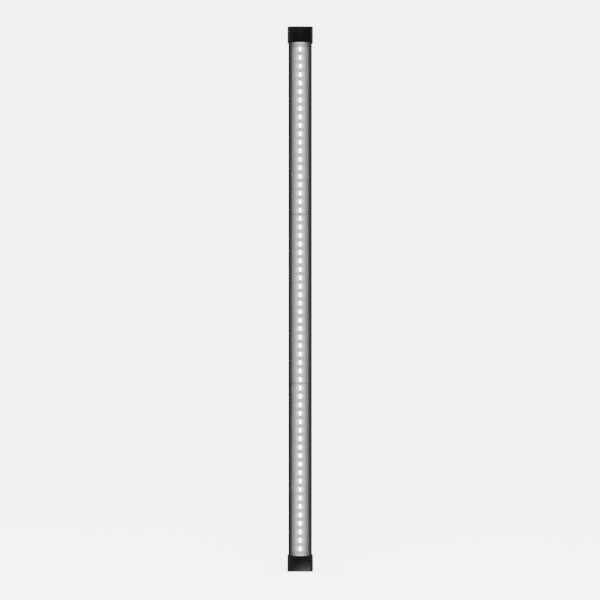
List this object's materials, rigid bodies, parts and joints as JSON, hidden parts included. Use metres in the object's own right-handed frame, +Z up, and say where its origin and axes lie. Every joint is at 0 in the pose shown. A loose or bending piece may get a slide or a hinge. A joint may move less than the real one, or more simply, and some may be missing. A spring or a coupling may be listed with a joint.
{
  "type": "led aquarium light",
  "caption": "Slim submersible aquarium light bar: black finned housing, clear crowned cover over a row of LEDs, sleeve end caps and a recessed power inlet.",
  "frame": {"origin": "middle of the flat end of the lower end cap, which the light stands on", "axes": "+Z up along the light's length, -Y out of the lit front, +X to the right seen from the front"},
  "size_m": [0.0282, 0.0224, 0.59],
  "materials": {
    "housing": "black anodised, fine lengthwise extrusion lines",
    "cap": "black moulded plastic, satin",
    "cover": "clear, lightly frosted inside",
    "silicone_seal": "translucent silicone",
    "board": "silver grey, satin",
    "led": "cool white light under a clear dome",
    "thermal_pad": "soft matte",
    "solder": "bright tin",
    "rubber": "black matte rubber",
    "screw": "stainless",
    "socket": "black moulded plastic",
    "contact": "plated contact",
    "driver_board": "green circuit board",
    "epoxy": "black epoxy",
    "ferrite": "grey ferrite",
    "capacitor": "dark blue sleeve",
    "lead_black": "black lead sleeve",
    "lead_red": "red lead sleeve"
  },
  "bodies": {
    "root": {"housing_profile": "housing", "lens_cover": "cover", "lens_seal_left": "silicone_seal", "lens_seal_right": "silicone_seal", "thermal_pad_1": "thermal_pad", "led_board_1": "board", "led_row_1": "led", "thermal_pad_2": "thermal_pad", "led_board_2": "board", "led_row_2": "led", "thermal_pad_3": "thermal_pad", "led_board_3": "board", "led_row_3": "led", "board_link_1_left": "solder", "board_link_1_right": "solder", "board_link_2_left": "solder", "board_link_2_right": "solder", "end_cap_bottom": "cap", "gasket_bottom": "rubber", "cap_screw_bottom_left": "screw", "cap_screw_bottom_right": "screw", "end_cap_top": "cap", "gasket_top": "rubber", "cap_screw_top_left": "screw", "cap_screw_top_right": "screw", "inlet_socket": "socket", "inlet_seal_ring": "rubber", "inlet_nut": "screw", "inlet_pin_neg": "contact", "inlet_pin_pos": "contact", "driver_pad": "thermal_pad", "driver_board": "driver_board", "driver_chip": "epoxy", "driver_diode": "epoxy", "driver_inductor": "ferrite", "driver_capacitor": "capacitor", "supply_lead_neg": "lead_black", "supply_lead_pos": "lead_red", "output_lead_neg": "lead_black", "output_lead_pos": "lead_red"}
  },
  "joints": []
}
